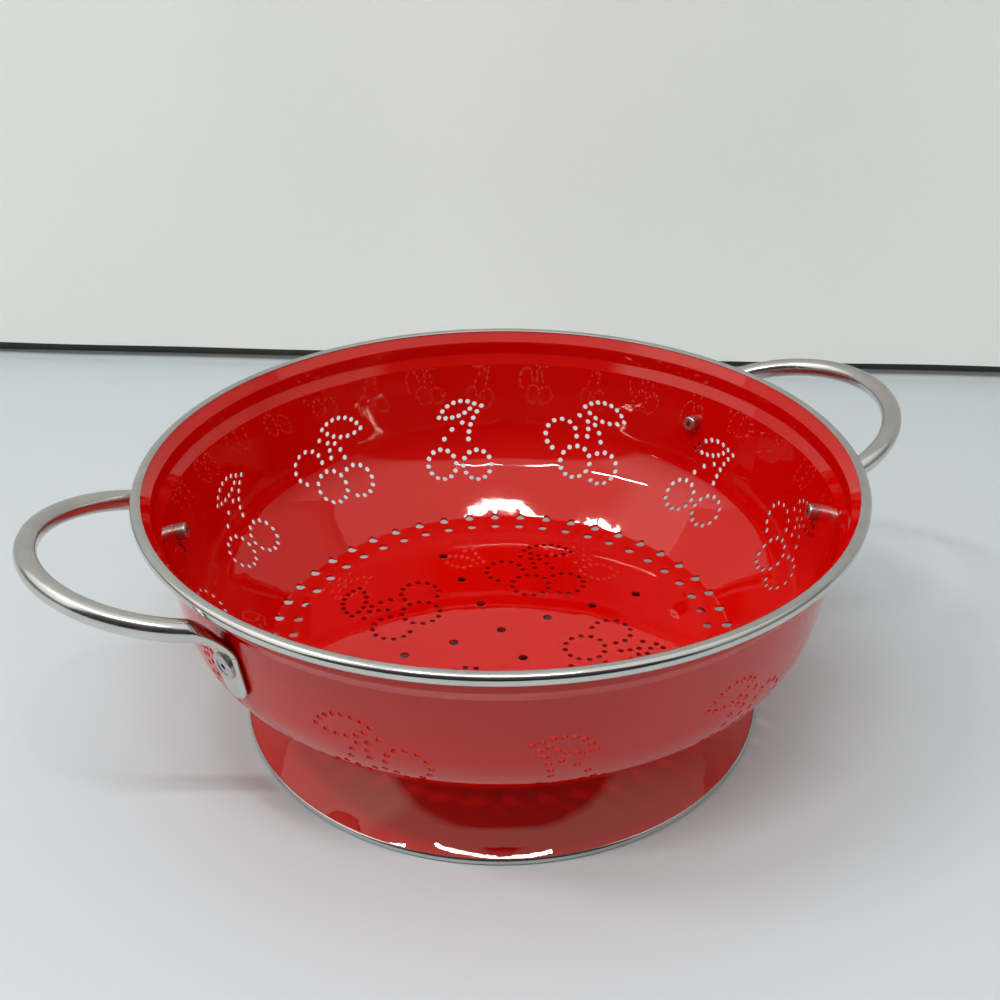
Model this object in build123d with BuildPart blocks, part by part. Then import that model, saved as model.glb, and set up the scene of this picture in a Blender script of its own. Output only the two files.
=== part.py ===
from build123d import *
from math import acos, atan2, cos, degrees, radians, sin, tan
import os

os.makedirs("parts", exist_ok=True)

# Red enamelled colander: the rest plane is z = 0, the handles lie along X, sizes in millimetres

# Enamelled sheet steel
sheet = 0.8
bend_radius = 1.2

# Bowl, measured on its inside face from the inside of its floor
floor_radius = 86.0
slope_length = 23.6
slope_angle = 43
curve_radius = 30.6
wall_angle = 81.4
wall_length = 25.3
step_depth = 2.4
step_height = 4.0
band_height = 5.0
flare_length = 4.7
flare_angle = 51
rim_curl_radius = 1.7
rim_curl_turn = 235

# Foot ring, measured on its outside face
foot_height = 24.3
foot_radius = 96.0
foot_top_radius = 75.1
foot_flange_width = 6.0
foot_lip_angle = 30
foot_curl_radius = 1.1
foot_curl_turn = 200
foot_flat_depth = 0.12

# Stainless trim bands clinched round the two rolled edges
trim_thickness = 0.35
trim_clearance = 0.1
trim_edge_angle = 9

# Drain holes
cut_overrun = 3.0
ring_hole_radius = 1.85
ring_radii = (85.2, 77.9)
ring_count = 48
cross_hole_radius = 1.75
cross_pitch = 19.35
cross_steps = 3
arm_count = 4

# Dotted cherries, each motif drawn round its first cherry or between its pair
dot_radius = 1.05
dot_web = 0.5
cherry_dots = 12
motif_count = 6
floor_cherry_radius = 7.4
floor_motif_radius = 33.0
triple_cherry_radius = 7.0
triple_aside = 3.95
triple_height = 27.6
triple_tilt = -30
triple_azimuth = 45.84
pair_cherry_radius = 6.7
pair_height = 25.0

# Cherry places and dotted strokes, in shares of the cherry's radius: start, middle, end, dots
triple_cherry_shares = ((0, 0), (-1.78, 0.82), (1.69, 0.81))
triple_stroke_shares = (
    ((-1.54, 3.23), (-0.48, 4.26), (0.98, 4.00), 8),
    ((-1.54, 3.23), (-0.08, 3.12), (0.98, 4.00), 7),
    ((-1.60, 3.09), (-1.50, 2.53), (-1.32, 2.03), 3),
    ((-1.20, 2.87), (-0.58, 2.15), (-0.19, 1.29), 5),
    ((-0.38, 2.64), (0.08, 2.41), (0.55, 2.00), 3),
)
pair_cherry_shares = ((-1.20, 0.10), (1.28, -0.10))
pair_stroke_shares = (
    ((-1.09, 3.22), (-0.10, 4.14), (1.26, 4.00), 7),
    ((-1.09, 3.22), (0.02, 3.18), (1.26, 4.00), 7),
    ((1.72, 3.84), (0.93, 2.45), (0.80, 1.15), 7),
    ((0.43, 2.75), (-0.22, 2.39), (-0.84, 1.76), 3),
)

# Handles: a bent tube whose ends are flattened to paddles against the wall
tube_diameter = 7.1
tube_wall = 0.8
handle_reach = 161.1
handle_tilt = 15.0
leg_angle = 21.3
leg_height = 59.8
elbow_length = 9.5
elbow_fullness = (0.8, 0.5)
paddle_width = 11.8
paddle_thickness = 2.0
paddle_top_height = 51.8
paddle_tip_height = 33.3
paddle_clearance = 0.15
press_overlap = 0.5
press_step = 0.2

# Blind rivets: flange outside, sleeve through paddle and wall, bulb inside
rivet_height = 46.8
rivet_fit = 0.05
sleeve_radius = 2.4
flange_radius = 4.7
flange_thickness = 1.2
flange_edge_radius = 0.45
flange_ring_radius = 2.9
flange_ring_depth = 0.25
bulb_radius = 3.0
bulb_length = 3.7
bulb_end_radius = 0.8
mandrel_radius = 1.0
mandrel_recess = 1.6


def radial_plane(azimuth):
    """Upright plane through the bowl's axis, its x running outward at this azimuth."""
    outward = (cos(radians(azimuth)), sin(radians(azimuth)), 0)
    sideways = (sin(radians(azimuth)), -cos(radians(azimuth)), 0)
    return Plane(origin=(0, 0, 0), x_dir=outward, z_dir=sideways)


def surface_plane(azimuth, point, slope, depth=0):
    """Plane along the sheet at a profile point: x to the right from inside, y down, z out."""
    normal = Vector(sin(radians(slope)), -cos(radians(slope)))
    across = radial_plane(azimuth)
    origin = across.from_local_coords(point + normal * depth)
    outward = across.from_local_coords(normal)
    return Plane(origin=origin, x_dir=across.z_dir, z_dir=outward)


def clinch_turn(curl_radius):
    """Angle from a curl's start back to where the trim would meet the sheet again."""
    trim_outside = curl_radius + trim_clearance + trim_thickness
    return degrees(acos((curl_radius - sheet) / trim_outside)) + trim_edge_angle


def draw_trim(center, curl_radius, start_angle):
    """Section of a trim band round a curl that leaves its sheet at the start angle."""
    inside = curl_radius + trim_clearance
    last_angle = start_angle + clinch_turn(curl_radius)
    sweep = 360 - clinch_turn(curl_radius) - trim_edge_angle
    with BuildLine() as outline:
        outer = CenterArc(center, inside + trim_thickness, last_angle, sweep)
        inner = CenterArc(center, inside, last_angle, sweep)
        Line(outer @ 0, inner @ 0)
        Line(outer @ 1, inner @ 1)
    make_face(outline.edges())


def motif_dots(cherry_radius, cherry_shares, stroke_shares, tilt):
    """Dot centres of one motif: rings for the cherries, arcs for the leaf and the stems."""
    dots = []

    def keep(dot):
        if all((dot - other).length > 2 * dot_radius + dot_web for other in dots):
            dots.append(dot)

    centers = [Vector(*share) * cherry_radius for share in cherry_shares]
    for number, center in enumerate(centers):
        for step in range(cherry_dots):
            turn = radians(90 + 360 * step / cherry_dots)
            dot = center + Vector(cos(turn), sin(turn)) * cherry_radius
            if all((dot - front).length > cherry_radius for front in centers[:number]):
                keep(dot)
    for start, middle, end, count in stroke_shares:
        points = [Vector(*share) * cherry_radius for share in (start, middle, end)]
        stroke = ThreePointArc(*points)
        for step in range(count):
            keep(stroke.position_at(step / (count - 1)))
    return [dot.rotate(Axis.Z, tilt) for dot in dots]


# Inside face of the bowl, from the centre of its floor to the end of its straight wall
with BuildLine(mode=Mode.PRIVATE):
    floor_line = Line((0, foot_height), (floor_radius, foot_height))
    slope_line = PolarLine(floor_line @ 1, slope_length, slope_angle)
    wall_curve = JernArc(slope_line @ 1, slope_line % 1, curve_radius, wall_angle - slope_angle)
    wall_line = PolarLine(wall_curve @ 1, wall_length, wall_angle)
wall_start = wall_curve @ 1
wall_end = wall_line @ 1
step_end = wall_end + Vector(step_depth, step_height)
band_end = step_end + Vector(0, band_height)
flare_direction = Vector(1, 0).rotate(Axis.Z, flare_angle)
flare_end = band_end + flare_direction * flare_length
rim_center = flare_end + flare_direction.rotate(Axis.Z, -90) * rim_curl_radius


def wall_point(height):
    """Profile point on the straight wall's inside face, at a height above the bowl's floor."""
    rise = foot_height + height - wall_start.Y
    return wall_start + Vector(rise / tan(radians(wall_angle)), rise)


def wall_place(length):
    """Profile point and slope at a length up the inside face from the floor's crease."""
    for edge in (slope_line, wall_curve, wall_line):
        if length < edge.length:
            break
        length -= edge.length
    direction = edge.tangent_at(length / edge.length)
    return edge.position_at(length / edge.length), degrees(atan2(direction.Y, direction.X))


def wall_dot_planes(dots, azimuth, aside, height):
    """Drilling planes of one wall motif, each dot square to the sheet."""
    planes = []
    for dot in dots:
        point, slope = wall_place(height + dot.Y)
        turn = degrees((dot.X + aside) / wall_start.X)
        planes.append(surface_plane(azimuth - turn, point, slope, -cut_overrun))
    return planes


def drill_from_inside(planes, radius):
    """Drill through the sheet from planes that stand one overrun inside it."""
    with Locations([Plane(plane.origin, plane.x_dir, -plane.z_dir) for plane in planes]):
        Hole(radius, 2 * cut_overrun)


motif_pitch = 360 / motif_count
seam_azimuth = 180 / ring_count
rivet_azimuths = {
    "right_back": leg_angle,
    "left_back": 180 - leg_angle,
    "left_front": 180 + leg_angle,
    "right_front": 360 - leg_angle,
}

# Bowl
with BuildPart() as bowl:
    with BuildSketch(radial_plane(seam_azimuth)):
        with BuildLine():
            FilletPolyline(floor_line @ 0, floor_line @ 1, slope_line @ 1, radius=bend_radius)
            add(wall_curve)
            FilletPolyline(
                wall_start, wall_end, step_end, band_end, flare_end, radius=bend_radius
            )
            JernArc(flare_end, flare_direction, rim_curl_radius, -rim_curl_turn)
            offset(amount=sheet, side=Side.RIGHT)
        make_face()
    revolve(axis=Axis.Z)
    drill_from_inside(
        [
            surface_plane(azimuth, wall_point(rivet_height), wall_angle, -cut_overrun)
            for azimuth in rivet_azimuths.values()
        ],
        sleeve_radius + rivet_fit,
    )
    with BuildSketch(Plane.XY.offset(foot_height)):
        for ring_radius in ring_radii:
            with PolarLocations(ring_radius, ring_count):
                Circle(ring_hole_radius)
        Circle(cross_hole_radius)
        for step in range(1, cross_steps + 1):
            with PolarLocations(step * cross_pitch, arm_count):
                Circle(cross_hole_radius)
        floor_dots = motif_dots(
            floor_cherry_radius, triple_cherry_shares, triple_stroke_shares, -90
        )
        with PolarLocations(floor_motif_radius, arm_count, start_angle=180 / arm_count):
            with Locations(floor_dots):
                Circle(dot_radius)
    extrude(amount=cut_overrun, both=True, mode=Mode.SUBTRACT)
    triple_dots = motif_dots(
        triple_cherry_radius, triple_cherry_shares, triple_stroke_shares, triple_tilt
    )
    pair_dots = motif_dots(pair_cherry_radius, pair_cherry_shares, pair_stroke_shares, 0)
    wall_planes = []
    for number in range(motif_count):
        azimuth = triple_azimuth + number * motif_pitch
        wall_planes += wall_dot_planes(triple_dots, azimuth, -triple_aside, triple_height)
        wall_planes += wall_dot_planes(pair_dots, azimuth - motif_pitch / 2, 0, pair_height)
    drill_from_inside(wall_planes, dot_radius)
bowl.part.label = "bowl"
export_step(bowl.part, "parts/bowl.step", write_pcurves=False)

# Foot ring, flanged inward under the floor and rolled inward at its lip
foot_bead_radius = foot_curl_radius + trim_clearance + trim_thickness
foot_center = Vector(foot_radius - foot_bead_radius, foot_bead_radius - foot_flat_depth)
lip_direction = Vector(1, 0).rotate(Axis.Z, -foot_lip_angle)
lip_end = foot_center + lip_direction.rotate(Axis.Z, 90) * foot_curl_radius
foot_top = Vector(foot_top_radius, foot_height - sheet)
with BuildPart() as foot_ring:
    with BuildSketch(radial_plane(seam_azimuth)):
        with BuildLine():
            Line(foot_top - Vector(foot_flange_width, 0), foot_top)
            TangentArc(lip_end, foot_top, tangent=-lip_direction)
            JernArc(lip_end, lip_direction, foot_curl_radius, -foot_curl_turn)
            offset(amount=sheet, side=Side.RIGHT)
        make_face()
    revolve(axis=Axis.Z)
foot_ring.part.label = "foot_ring"
export_step(foot_ring.part, "parts/foot_ring.step")

# Trim bands, the lower one worn flat where it rests
with BuildPart() as rim_trim:
    with BuildSketch(radial_plane(seam_azimuth)):
        draw_trim(rim_center, rim_curl_radius, 90 + flare_angle)
    revolve(axis=Axis.Z)
rim_trim.part.label = "rim_trim"
export_step(rim_trim.part, "parts/rim_trim.step")

with BuildPart() as foot_trim:
    with BuildSketch(radial_plane(seam_azimuth)):
        draw_trim(foot_center, foot_curl_radius, 90 - foot_lip_angle)
    revolve(axis=Axis.Z)
    split(bisect_by=Plane.XY, keep=Keep.TOP)
foot_trim.part.label = "foot_trim"
export_step(foot_trim.part, "parts/foot_trim.step")

# Centreline of half a handle that points along +X: half its loop, then the elbow of one leg
paddle_depth = sheet + paddle_clearance + paddle_thickness / 2
paddle_length = (paddle_top_height - paddle_tip_height) / sin(radians(wall_angle))
paddle_plane = surface_plane(
    leg_angle, wall_point(paddle_top_height), wall_angle, paddle_depth
)
leg_end = surface_plane(leg_angle, wall_point(leg_height), wall_angle, paddle_depth).origin
loop_plane = Plane(
    origin=(leg_end.X, 0, leg_end.Z),
    x_dir=(cos(radians(handle_tilt)), 0, sin(radians(handle_tilt))),
    z_dir=(-sin(radians(handle_tilt)), 0, cos(radians(handle_tilt))),
)
loop_length = (handle_reach - tube_diameter / 2 - leg_end.X) / cos(radians(handle_tilt))
with BuildLine(loop_plane, mode=Mode.PRIVATE):
    loop = ThreePointArc((0, -leg_end.Y), (loop_length, 0), (0, leg_end.Y))
half_loop = loop.trim(0.5, 1 - elbow_length / loop.length)
elbow_end = paddle_plane.origin + paddle_plane.y_dir * press_overlap
with BuildLine(mode=Mode.PRIVATE):
    elbow = Spline(
        half_loop @ 1,
        elbow_end,
        tangents=(half_loop % 1, paddle_plane.y_dir),
        tangent_scalars=elbow_fullness,
    )


def half_tube(diameter, width, thickness):
    """Half a handle of round tube, flattened to end one press step inside its paddle."""
    with BuildPart() as half:
        with BuildSketch(Plane(half_loop @ 0, z_dir=half_loop % 0)):
            Circle(diameter / 2)
        sweep(path=half_loop)
        with BuildSketch(Plane(elbow @ 0, paddle_plane.x_dir, elbow % 0)) as round_end:
            Circle(diameter / 2)
        with BuildSketch(Plane(elbow @ 1, paddle_plane.x_dir, elbow % 1)) as flat_end:
            SlotOverall(width - press_step, thickness - press_step)
        sweep(sections=[round_end.sketch, flat_end.sketch], path=elbow, multisection=True)
    return half.part


# Flattened end of a leg, drawn on its own with its top at the origin and its tip down -Y
with BuildPart() as paddle:
    straight = paddle_length - paddle_width / 2
    with BuildSketch(Plane.XZ):
        SlotOverall(paddle_width, paddle_thickness)
    extrude(amount=straight)
    with BuildSketch(Plane.XZ.offset(straight)):
        SlotOverall(paddle_width, paddle_thickness)
        split(bisect_by=Plane.YZ, keep=Keep.BOTTOM)
    revolve(axis=Axis((0, -straight, 0), (0, 0, 1)), revolution_arc=180)
    rivet_drop = (paddle_top_height - rivet_height) / sin(radians(wall_angle))
    with Locations((0, -rivet_drop, paddle_thickness)):
        Hole(sleeve_radius + rivet_fit, 2 * paddle_thickness)

# Handles
with BuildPart() as handle:
    add(half_tube(tube_diameter, paddle_width, paddle_thickness))
    add(
        half_tube(
            tube_diameter - 2 * tube_wall,
            paddle_width - 2 * tube_wall,
            paddle_thickness - 2 * tube_wall,
        ),
        mode=Mode.SUBTRACT,
    )
    with Locations(Plane(paddle_plane.origin, -paddle_plane.x_dir, paddle_plane.z_dir)):
        add(paddle.part)
    mirror(about=Plane.XZ)
for side, azimuth in (("right", 0), ("left", 180)):
    with BuildPart() as side_handle:
        with Locations(Rotation(0, 0, azimuth)):
            add(handle.part)
    side_handle.part.label = side + "_handle"
    export_step(side_handle.part, "parts/" + side + "_handle.step")

# Rivets, revolved about their own axis from the wall's inside face
flange_seat = sheet + paddle_clearance + paddle_thickness
flange_top = flange_seat + flange_thickness
tail_end = -bulb_length
bore_radius = mandrel_radius + rivet_fit
for name, azimuth in rivet_azimuths.items():
    wall_place_plane = surface_plane(azimuth, wall_point(rivet_height), wall_angle)
    rivet_axis = Axis(wall_place_plane.origin, wall_place_plane.z_dir)
    section_plane = Plane(
        wall_place_plane.origin, wall_place_plane.x_dir, -wall_place_plane.y_dir
    )
    with BuildPart() as rivet:
        with BuildSketch(section_plane) as section:
            with BuildLine():
                Polyline(
                    (bore_radius, flange_top - flange_ring_depth),
                    (flange_ring_radius, flange_top - flange_ring_depth),
                    (flange_ring_radius, flange_top),
                    (flange_radius, flange_top),
                    (flange_radius, flange_seat),
                    (sleeve_radius, flange_seat),
                    (sleeve_radius, -rivet_fit),
                    (bulb_radius, -rivet_fit),
                    (bulb_radius, tail_end),
                    (bore_radius, tail_end),
                    close=True,
                )
            make_face()
            flange_corner = Vector(flange_radius, flange_top)
            bulb_corner = Vector(bulb_radius, tail_end)
            fillet(section.vertices().sort_by_distance(flange_corner)[0], flange_edge_radius)
            fillet(section.vertices().sort_by_distance(bulb_corner)[0], bulb_end_radius)
        revolve(axis=rivet_axis)
    rivet.part.label = "rivet_" + name
    export_step(rivet.part, "parts/rivet_" + name + ".step")

    with BuildPart() as mandrel:
        with BuildSketch(wall_place_plane.offset(tail_end + mandrel_recess)):
            Circle(mandrel_radius)
        extrude(amount=flange_top - tail_end - 2 * mandrel_recess)
    mandrel.part.label = "mandrel_" + name
    export_step(mandrel.part, "parts/mandrel_" + name + ".step")
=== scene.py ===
"""A red enamelled colander with stainless trim and handles, on a pale table."""

import math

import bpy
from mathutils import Matrix, Vector

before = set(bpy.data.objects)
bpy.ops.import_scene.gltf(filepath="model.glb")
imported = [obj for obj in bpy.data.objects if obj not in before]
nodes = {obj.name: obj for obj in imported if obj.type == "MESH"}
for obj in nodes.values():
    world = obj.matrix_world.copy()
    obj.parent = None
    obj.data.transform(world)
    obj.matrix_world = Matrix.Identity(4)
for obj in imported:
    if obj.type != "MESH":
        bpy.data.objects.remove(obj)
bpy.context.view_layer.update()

# ---------------------------------------------------------------- camera, from the fitted view

CAMERA_PLACE = Vector((-0.1570, -0.3500, 0.2926))
CAMERA_HEADING = math.radians(65.87)
CAMERA_PITCH = math.radians(28.99)
CAMERA_ROLL = math.radians(-0.344)

ahead = Vector((math.cos(CAMERA_HEADING), math.sin(CAMERA_HEADING), 0))
right = Vector((ahead.y, -ahead.x, 0))
forward = ahead * math.cos(CAMERA_PITCH) - Vector((0, 0, math.sin(CAMERA_PITCH)))
up = right.cross(forward)
rolled_right = right * math.cos(CAMERA_ROLL) + up * math.sin(CAMERA_ROLL)
rolled_up = up * math.cos(CAMERA_ROLL) - right * math.sin(CAMERA_ROLL)

camera = bpy.data.objects.new("camera", bpy.data.cameras.new("camera"))
camera.data.sensor_width = 36
camera.data.lens = 44.557
camera.data.clip_start = 0.01
camera.matrix_world = Matrix.Translation(CAMERA_PLACE) @ Matrix(
    (
        (rolled_right.x, rolled_up.x, -forward.x),
        (rolled_right.y, rolled_up.y, -forward.y),
        (rolled_right.z, rolled_up.z, -forward.z),
    )
).to_4x4()
bpy.context.scene.collection.objects.link(camera)
bpy.context.scene.camera = camera


# ---------------------------------------------------------------- node helpers


class Nodes:
    """Short calls for building one material's node tree."""

    def __init__(self, made, shader="Principled BSDF"):
        self.made = made
        made.use_nodes = True
        self.tree = made.node_tree
        self.shader = self.tree.nodes[shader]

    def add(self, kind, inputs=(), **settings):
        node = self.tree.nodes.new(kind)
        for key, value in settings.items():
            setattr(node, key, value)
        for key, value in dict(inputs).items():
            self.put(node, key, value)
        return node

    def put(self, node, key, value):
        socket = node.inputs[key]
        if isinstance(value, bpy.types.NodeSocket):
            self.tree.links.new(value, socket)
        else:
            socket.default_value = value

    def set(self, **values):
        for key, value in values.items():
            self.put(self.shader, key.replace("_", " "), value)

    def place(self):
        return self.add("ShaderNodeTexCoord").outputs["Object"]

    def maths(self, operation, a, b=0.0, c=0.0, clamp=False):
        node = self.add("ShaderNodeMath", operation=operation, use_clamp=clamp)
        for socket, value in zip(node.inputs, (a, b, c)):
            if isinstance(value, bpy.types.NodeSocket):
                self.tree.links.new(value, socket)
            else:
                socket.default_value = value
        return node.outputs[0]

    def noise(self, vector, scale, detail=2.0, roughness=0.5, distortion=0.0):
        node = self.add(
            "ShaderNodeTexNoise",
            {
                "Vector": vector,
                "Scale": scale,
                "Detail": detail,
                "Roughness": roughness,
                "Distortion": distortion,
            },
        )
        return node.outputs["Fac"]

    def span(self, value, low, high, to_low, to_high, way="LINEAR"):
        node = self.add(
            "ShaderNodeMapRange",
            {
                "Value": value,
                "From Min": low,
                "From Max": high,
                "To Min": to_low,
                "To Max": to_high,
            },
            interpolation_type=way,
        )
        return node.outputs["Result"]

    def toward(self, vector, direction):
        """How far a vector points along a direction."""
        node = self.add("ShaderNodeVectorMath", {0: vector, 1: direction}, operation="DOT_PRODUCT")
        return node.outputs["Value"]

    def stretched(self, scale, rotation=(0, 0, 0)):
        """Coordinates stretched by a scale: noise in them runs in streaks."""
        node = self.add(
            "ShaderNodeMapping", {"Vector": self.place(), "Scale": scale, "Rotation": rotation}
        )
        return node.outputs["Vector"]

    def mix(self, factor, a, b):
        node = self.add("ShaderNodeMix", data_type="RGBA")
        for index, value in ((0, factor), (6, a), (7, b)):
            if isinstance(value, bpy.types.NodeSocket):
                self.tree.links.new(value, node.inputs[index])
            else:
                node.inputs[index].default_value = value
        return node.outputs[2]

    def bump(self, height, distance, strength=1.0, under=None):
        inputs = {"Height": height, "Distance": distance, "Strength": strength}
        if under is not None:
            inputs["Normal"] = under
        return self.add("ShaderNodeBump", inputs).outputs["Normal"]

    def around(self, centre_x, turns, across):
        """Coordinates that run round an upright axis: lines of noise follow the turn."""
        split = self.add("ShaderNodeSeparateXYZ", {"Vector": self.place()})
        x = self.maths("SUBTRACT", split.outputs["X"], centre_x)
        y, z = split.outputs["Y"], split.outputs["Z"]
        radius = self.maths(
            "SQRT", self.maths("ADD", self.maths("MULTIPLY", x, x), self.maths("MULTIPLY", y, y))
        )
        join = self.add(
            "ShaderNodeCombineXYZ",
            {
                "X": self.maths("MULTIPLY", self.maths("ARCTAN2", y, x), turns),
                "Y": self.maths("MULTIPLY", radius, across),
                "Z": self.maths("MULTIPLY", z, across),
            },
        )
        return join.outputs["Vector"]


# ---------------------------------------------------------------- materials


ENAMEL_DEEP = (0.62, 0.0010, 0.0004, 1)
ENAMEL_BRIGHT = (0.68, 0.0024, 0.0006, 1)
ENAMEL_FLECK = (0.46, 0.0016, 0.0006, 1)
STEEL = (0.66, 0.645, 0.62, 1)
RIVET_STEEL = (0.60, 0.59, 0.575, 1)
BROKEN_STEEL = (0.30, 0.285, 0.27, 1)


def darker(colour, share):
    return tuple(c * share for c in colour[:3]) + (1,)


def red_enamel():
    """Fired red enamel: a deep glossy coat with a faint orange peel and fine rub marks."""
    m = Nodes(bpy.data.materials.new("red_enamel"))
    place = m.place()
    cloud = m.noise(place, 14, 3)
    fleck = m.noise(place, 900, 2)
    colour = m.mix(m.span(cloud, 0.35, 0.65, 0, 1), ENAMEL_DEEP, ENAMEL_BRIGHT)
    colour = m.mix(m.span(fleck, 0.66, 0.80, 0, 0.2), colour, ENAMEL_FLECK)
    rub = m.noise(m.stretched((900, 120, 400)), 1, 4)
    patch = m.span(m.noise(place, 30, 3), 0.5, 0.7, 0, 1)
    rubbed = m.maths("MULTIPLY", m.span(rub, 0.55, 0.75, 0, 1), patch)
    dullness = m.maths("ADD", m.maths("MULTIPLY", rubbed, 0.5), cloud)
    peel = m.noise(place, 190, 1.5)
    ripple = m.noise(place, 45, 1)
    normal = m.bump(ripple, 0.00006)
    normal = m.bump(peel, 0.000012, 1.0, normal)
    m.set(
        Base_Color=colour,
        Roughness=m.span(dullness, 0.3, 1.3, 0.012, 0.06),
        IOR=1.56,
        Normal=normal,
    )
    m.set(**{"Specular Tint": (1.0, 0.95, 0.84, 1)})
    return m.made


def stainless(name, centre_x, colour, smooth, rough, groove):
    """Stainless steel, its polishing lines running round an upright axis."""
    m = Nodes(bpy.data.materials.new(name))
    place = m.place()
    lines = m.noise(m.around(centre_x, 9, 5200), 1, 3, 0.6)
    broad = m.noise(m.around(centre_x, 5, 900), 1, 2)
    stain = m.noise(place, 60, 3)
    scratch = m.noise(m.stretched((2400, 90, 700), (0.4, 0.7, 1.1)), 1, 2)
    cut = m.span(scratch, 0.70, 0.78, 0, 1)
    tone = m.mix(m.span(stain, 0.3, 0.7, 0, 1), colour, darker(colour, 0.86))
    polish = m.maths("ADD", lines, m.maths("MULTIPLY", broad, 0.6))
    wear = m.maths("MULTIPLY", cut, 0.12)
    roughness = m.maths("ADD", m.span(polish, 0.5, 1.1, smooth, rough), wear)
    normal = m.bump(m.noise(place, 70, 1), 0.00008)
    normal = m.bump(lines, groove, 1.0, normal)
    m.set(Base_Color=tone, Metallic=1.0, Roughness=roughness, Normal=normal)
    return m.made


def satin_steel(name, colour, smooth, rough):
    """Tumbled steel: small dents and an uneven satin finish."""
    m = Nodes(bpy.data.materials.new(name))
    place = m.place()
    grain = m.noise(place, 2600, 3, 0.65)
    dent = m.noise(place, 420, 2)
    tone = m.mix(m.span(grain, 0.35, 0.7, 0, 1), colour, darker(colour, 0.72))
    normal = m.bump(dent, 0.00006)
    normal = m.bump(grain, 0.000012, 1.0, normal)
    m.set(
        Base_Color=tone,
        Metallic=1.0,
        Roughness=m.span(m.maths("ADD", grain, dent), 0.7, 1.3, smooth, rough),
        Normal=normal,
    )
    return m.made


def dress(piece, material):
    """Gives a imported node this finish."""
    if not piece.material_slots:
        piece.data.materials.append(material)
    for place in piece.material_slots:
        place.material = material


GROOVE = 0.000004
LOOP_CENTRE = 0.112
enamel = red_enamel()
trim_finish = stainless("trim_steel", 0.0, STEEL, 0.08, 0.20, GROOVE)
handle_finishes = {
    "left_handle": stainless("left_handle_steel", -LOOP_CENTRE, STEEL, 0.12, 0.26, GROOVE),
    "right_handle": stainless("right_handle_steel", LOOP_CENTRE, STEEL, 0.12, 0.26, GROOVE),
}
rivet_finish = satin_steel("rivet_steel", RIVET_STEEL, 0.24, 0.42)
mandrel_finish = satin_steel("mandrel_steel", BROKEN_STEEL, 0.38, 0.6)

for name, node in nodes.items():
    if name in ("bowl", "foot_ring"):
        dress(node, enamel)
    elif name in ("rim_trim", "foot_trim"):
        dress(node, trim_finish)
    elif name in handle_finishes:
        dress(node, handle_finishes[name])
    elif name.startswith("rivet"):
        dress(node, rivet_finish)
    else:
        dress(node, mandrel_finish)

# ---------------------------------------------------------------- stage


def table_top():
    """Pale matt table with a faint sheen."""
    m = Nodes(bpy.data.materials.new("table_top"))
    place = m.place()
    cloud = m.noise(place, 2.2, 3)
    grain = m.noise(place, 900, 2)
    tone = m.mix(m.span(cloud, 0.3, 0.7, 0, 1), (0.675, 0.745, 0.765, 1), (0.70, 0.765, 0.785, 1))
    tone = m.mix(m.span(grain, 0.6, 0.8, 0, 0.12), tone, (0.58, 0.62, 0.635, 1))
    m.set(Base_Color=tone, Roughness=0.42, Normal=m.bump(grain, 0.00003))
    m.set(**{"Specular IOR Level": 0.35})
    return m.made


def clear_from_behind(m):
    """Lets the camera look through the material's back."""
    clear = m.add("ShaderNodeBsdfTransparent")
    rays = m.add("ShaderNodeLightPath")
    geometry = m.add("ShaderNodeNewGeometry")
    hide = m.maths("MULTIPLY", geometry.outputs["Backfacing"], rays.outputs["Is Camera Ray"])
    blend = m.add("ShaderNodeMixShader", {"Fac": hide})
    m.tree.links.new(m.shader.outputs[0], blend.inputs[1])
    m.tree.links.new(clear.outputs[0], blend.inputs[2])
    m.tree.links.new(blend.outputs[0], m.tree.nodes["Material Output"].inputs["Surface"])
    return m.made


def hanging_cloth():
    """Pale cloth, seen from its front only; a painted glow makes it look brighter to the camera
    than the lamps light it.
    """
    m = Nodes(bpy.data.materials.new("hanging_cloth"))
    place = m.place()
    weave = m.noise(place, 1500, 2)
    cloud = m.span(m.noise(place, 3, 2), 0.3, 0.7, 0, 1)
    tone = m.mix(cloud, (0.84, 0.84, 0.81, 1), (0.88, 0.875, 0.85, 1))
    m.set(Base_Color=tone, Roughness=0.9, Normal=m.bump(weave, 0.0001))
    m.set(**{"Specular IOR Level": 0.1})
    # painted light: an emission that only camera rays see brightens the cloth
    seen = m.add("ShaderNodeLightPath").outputs["Is Camera Ray"]
    painted_glow = m.maths("MULTIPLY", seen, CLOTH_PAINTED_GLOW)
    m.set(Emission_Color=(0.90, 1.0, 0.95, 1), Emission_Strength=painted_glow)
    return clear_from_behind(m)


def painted_shade_strip():
    """Dark strip in the gap under the cloth: painted shade standing in for the shadow under the
    cloth's hem.
    """
    m = Nodes(bpy.data.materials.new("painted_shade_strip"))
    streak = m.noise(m.place(), 60, 2)
    # these dark greys are painted shade for the gap under the cloth, not a board's own colour
    m.set(Base_Color=m.mix(streak, (0.10, 0.11, 0.10, 1), (0.16, 0.17, 0.155, 1)), Roughness=0.6)
    return clear_from_behind(m)


def grid(name, columns, rows, point, material):
    """Sheet of quads whose corners come from point(share across, share up)."""
    points = [point(c / columns, r / rows) for r in range(rows + 1) for c in range(columns + 1)]
    step = columns + 1
    corners = [r * step + c for r in range(rows) for c in range(columns)]
    faces = [(corner, corner + 1, corner + step + 1, corner + step) for corner in corners]
    mesh = bpy.data.meshes.new(name)
    mesh.from_pydata(points, [], faces)
    mesh.shade_smooth()
    mesh.materials.append(material)
    made = bpy.data.objects.new(name, mesh)
    bpy.context.scene.collection.objects.link(made)
    return made


def floor_point(column, row):
    """Where the photograph's pixel falls on the table."""
    focal = camera.data.lens / camera.data.sensor_width * 1000
    ray = forward + rolled_right * ((column - 500) / focal) - rolled_up * ((row - 500) / focal)
    return CAMERA_PLACE - ray * (CAMERA_PLACE.z / ray.z)


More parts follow.
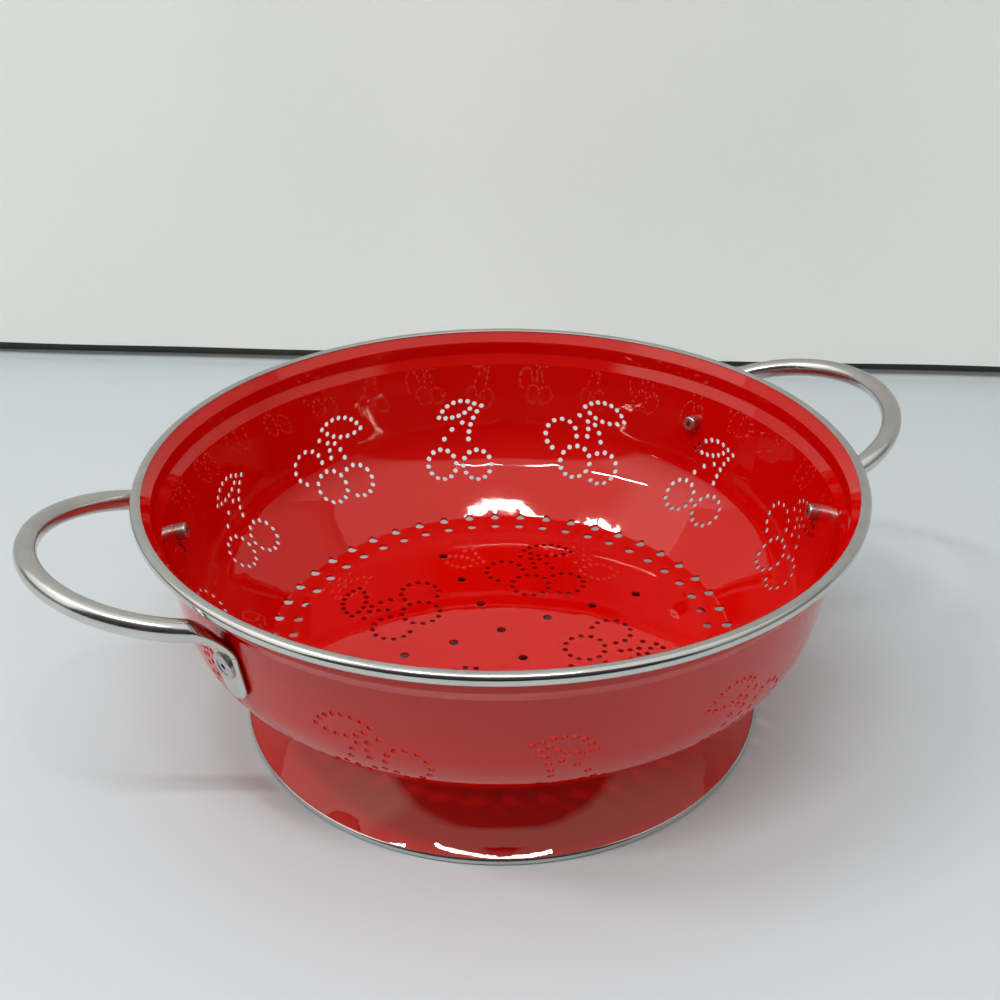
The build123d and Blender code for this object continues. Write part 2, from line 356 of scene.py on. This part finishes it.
TABLE_SIZE = 5.0
CLOTH_WIDTH = 2.6
CLOTH_HEIGHT = 1.5
CLOTH_GAP = 0.0085
# strength of the cloth's painted glow, which only the camera sees
CLOTH_PAINTED_GLOW = 0.18
# height and setback of the dark strip of painted shade under the cloth
SHADE_STRIP_HEIGHT = 0.03
SHADE_STRIP_BEHIND = 0.012


def table_point(u, v):
    return (u - 0.5) * TABLE_SIZE, (v - 0.5) * TABLE_SIZE, 0


grid("table", 1, 1, table_point, table_top())
foot_left, foot_right = floor_point(0, 356), floor_point(1000, 380)
along = (foot_right - foot_left).normalized()
toward = Vector((along.y, -along.x, 0))
middle = (foot_left + foot_right) / 2


def cloth_point(u, v):
    s = (u - 0.5) * CLOTH_WIDTH
    h = v * CLOTH_HEIGHT
    fold = 0.006 * math.sin(9 * s + 1.1 * h + 0.6)
    fold += 0.003 * math.sin(23 * s - 3 * h) + 0.002 * math.sin(41 * s + 5 * h)
    spot = middle + along * s + toward * (fold * (0.35 + 0.65 * min(1, h / 0.3)))
    return spot.x, spot.y, CLOTH_GAP + h


def shade_strip_point(u, v):
    spot = middle + along * ((u - 0.5) * CLOTH_WIDTH) - toward * SHADE_STRIP_BEHIND
    return spot.x, spot.y, v * SHADE_STRIP_HEIGHT


grid("cloth", 260, 60, cloth_point, hanging_cloth())
# dark strip of painted shade in the gap under the cloth
grid("shade_strip", 1, 1, shade_strip_point, painted_shade_strip())

# ---------------------------------------------------------------- light


def ceiling_strip(name, start, end, width, power):
    """Long lamp between two places on the ceiling, facing straight down."""
    start, end = Vector(start), Vector(end)
    data = bpy.data.lights.new(name, "AREA")
    data.shape = "RECTANGLE"
    data.size, data.size_y = (end - start).length, width
    data.energy = power
    made = bpy.data.objects.new(name, data)
    made.location = (start + end) / 2
    made.rotation_euler = (0, 0, math.atan2(end.y - start.y, end.x - start.x))
    bpy.context.scene.collection.objects.link(made)


def from_view(across, ahead_by, height):
    """A place given from the bowl's axis: to the right, onward and up as the camera sees it."""
    spot = right * across + ahead * ahead_by
    return spot.x, spot.y, height


CEILING = 1.6
STRIP_WIDTH = 0.028
ceiling_strip(
    "strip_a",
    from_view(-0.56, -0.656, CEILING),
    from_view(0.384, -0.656, CEILING),
    STRIP_WIDTH,
    8.0,
)
ceiling_strip(
    "strip_b",
    from_view(-0.77, -0.50, CEILING),
    from_view(-1.23, -0.16, CEILING),
    STRIP_WIDTH,
    6.0,
)

ROOM_LOW, ROOM_HIGH, ROOM_SEEN = 0.22, 0.90, 0.66
WINDOW_LIGHT = 0.55
FLAG_SHARE = 0.90


def room():
    """Pale room: bright overhead and to the left, dim low down and behind the camera."""
    m = Nodes(bpy.data.worlds.new("room"), "Background")
    way = m.add("ShaderNodeTexCoord").outputs["Generated"]
    rise = m.toward(way, (0, 0, 1))
    leftward = m.toward(way, tuple(-right))
    backward = m.toward(way, tuple(-ahead))
    light = m.span(rise, 0.15, 0.80, ROOM_LOW, ROOM_HIGH, "SMOOTHSTEP")
    window = m.maths("MULTIPLY", m.span(leftward, 0.52, 0.60, 0, 1), m.span(rise, 0.22, 0.30, 0, 1))
    light = m.maths("ADD", light, m.maths("MULTIPLY", window, WINDOW_LIGHT))
    flag = m.maths("MULTIPLY", m.span(backward, 0.50, 0.58, 0, 1), m.span(rise, 0.84, 0.80, 0, 1))
    unflagged = m.maths("SUBTRACT", 1, m.maths("MULTIPLY", flag, FLAG_SHARE))
    light = m.maths("MULTIPLY", light, unflagged)
    seen = m.add("ShaderNodeLightPath").outputs["Is Camera Ray"]
    light = m.maths("MULTIPLY", light, m.maths("SUBTRACT", 1, seen))
    light = m.maths("ADD", light, m.maths("MULTIPLY", seen, ROOM_SEEN))
    m.put(m.shader, "Color", (1.0, 1.0, 0.985, 1))
    m.put(m.shader, "Strength", light)
    return m.made


bpy.context.scene.world = room()

bpy.context.scene.view_settings.view_transform = "Standard"
